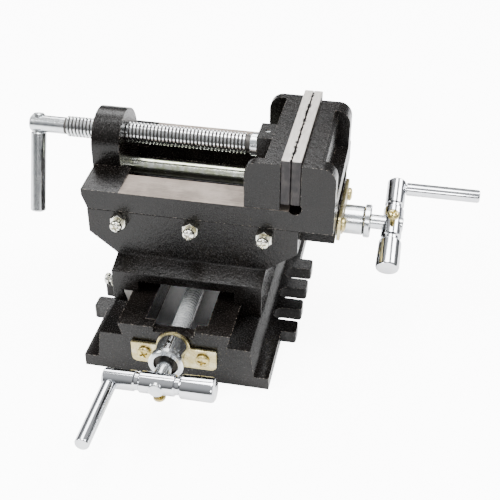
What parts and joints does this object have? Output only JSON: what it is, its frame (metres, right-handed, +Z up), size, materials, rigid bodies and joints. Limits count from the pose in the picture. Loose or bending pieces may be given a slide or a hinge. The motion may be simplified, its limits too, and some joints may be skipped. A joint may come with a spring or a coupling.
{
  "type": "cross-slide drill press vise",
  "caption": "Benchtop compound vise: slotted base, saddle and table on dovetail slides, each moved by a crank and lead screw, with a screw-driven moving jaw.",
  "frame": {"origin": "on the base's underside, under the middle of its front wall, below the front lead screw's axis", "axes": "+X along the table's travel towards its crank, +Y away from the front crank, +Z up"},
  "size_m": [0.3086, 0.2791, 0.1441],
  "materials": {
    "black_enamelled_iron": "gloss black enamel over a cast surface, bare on the machined bed",
    "ground_steel": "ground",
    "bronze": "machined",
    "yellow_zinc_steel": "pale yellow zinc",
    "chrome": "bright chrome over turned steel",
    "bright_zinc_steel": "bright zinc"
  },
  "bodies": {
    "base": {"base": "black_enamelled_iron", "y_bracket": "yellow_zinc_steel", "y_bracket_screw_1": "yellow_zinc_steel", "y_bracket_screw_2": "yellow_zinc_steel", "y_bushing": "bright_zinc_steel"},
    "saddle": {"saddle": "black_enamelled_iron", "x_gib": "ground_steel", "y_gib": "ground_steel", "x_nut": "bronze", "x_nut_screw": "bright_zinc_steel", "y_nut": "bronze", "y_nut_screw": "bright_zinc_steel", "x_gib_lock_nut_1": "yellow_zinc_steel", "x_gib_lock_nut_2": "yellow_zinc_steel", "x_gib_lock_nut_3": "yellow_zinc_steel", "x_gib_screw_1": "yellow_zinc_steel", "x_gib_screw_2": "yellow_zinc_steel", "x_gib_screw_3": "yellow_zinc_steel", "y_gib_lock_nut_1": "yellow_zinc_steel", "y_gib_lock_nut_2": "yellow_zinc_steel", "y_gib_lock_nut_3": "yellow_zinc_steel", "y_gib_screw_1": "yellow_zinc_steel", "y_gib_screw_2": "yellow_zinc_steel", "y_gib_screw_3": "yellow_zinc_steel"},
    "table": {"vise_body": "black_enamelled_iron", "fixed_jaw_plate": "ground_steel", "fixed_jaw_plate_screw_1": "bright_zinc_steel", "fixed_jaw_plate_screw_2": "bright_zinc_steel", "x_bracket": "yellow_zinc_steel", "x_bracket_screw_1": "yellow_zinc_steel", "x_bracket_screw_2": "yellow_zinc_steel", "x_bushing": "bright_zinc_steel"},
    "moving_jaw": {"moving_jaw": "black_enamelled_iron", "moving_jaw_plate": "ground_steel", "moving_jaw_plate_screw_1": "bright_zinc_steel", "moving_jaw_plate_screw_2": "bright_zinc_steel", "guide_rod": "yellow_zinc_steel", "jaw_screw_retainer": "bright_zinc_steel"},
    "jaw_spindle": {"jaw_screw": "bright_zinc_steel", "jaw_screw_handle": "bright_zinc_steel"},
    "y_crank": {"y_lead_screw": "bright_zinc_steel", "y_collar": "chrome", "y_crank_bar": "chrome", "y_crank_handle": "chrome", "y_crank_set_screw": "yellow_zinc_steel"},
    "x_crank": {"x_lead_screw": "bright_zinc_steel", "x_collar": "chrome", "x_crank_bar": "chrome", "x_crank_handle": "chrome", "x_crank_set_screw": "yellow_zinc_steel"}
  },
  "joints": [
    {"name": "y_crank_turn", "type": "hinge", "parent": "base", "child": "y_crank", "pos_m": [0, -0.004, 0.0286], "axis": [0, -1, 0], "range_deg": [-4700, 9900]},
    {"name": "y_slide", "type": "slide", "parent": "base", "child": "saddle", "axis": [0, 1, 0], "range_m": [-0.032, 0.068]},
    {"name": "x_slide", "type": "slide", "parent": "saddle", "child": "table", "axis": [1, 0, 0], "range_m": [-0.02, 0.042]},
    {"name": "x_crank_turn", "type": "hinge", "parent": "table", "child": "x_crank", "pos_m": [0.0935, 0.0941, 0.0748], "axis": [1, 0, 0], "range_deg": [-2900, 6100]},
    {"name": "jaw_slide", "type": "slide", "parent": "table", "child": "moving_jaw", "axis": [-1, 0, 0], "range_m": [0, 0.078]},
    {"name": "jaw_screw_turn", "type": "hinge", "parent": "moving_jaw", "child": "jaw_spindle", "pos_m": [0, 0.0941, 0.1253], "axis": [-1, 0, 0], "range_deg": [0, 11300]}
  ],
  "couplings": [
    {"joint": "y_crank_turn", "follows": "y_slide", "rad_per_m": 2513.3},
    {"joint": "x_crank_turn", "follows": "x_slide", "rad_per_m": 2513.3},
    {"joint": "jaw_screw_turn", "follows": "jaw_slide", "rad_per_m": 2513.3}
  ]
}
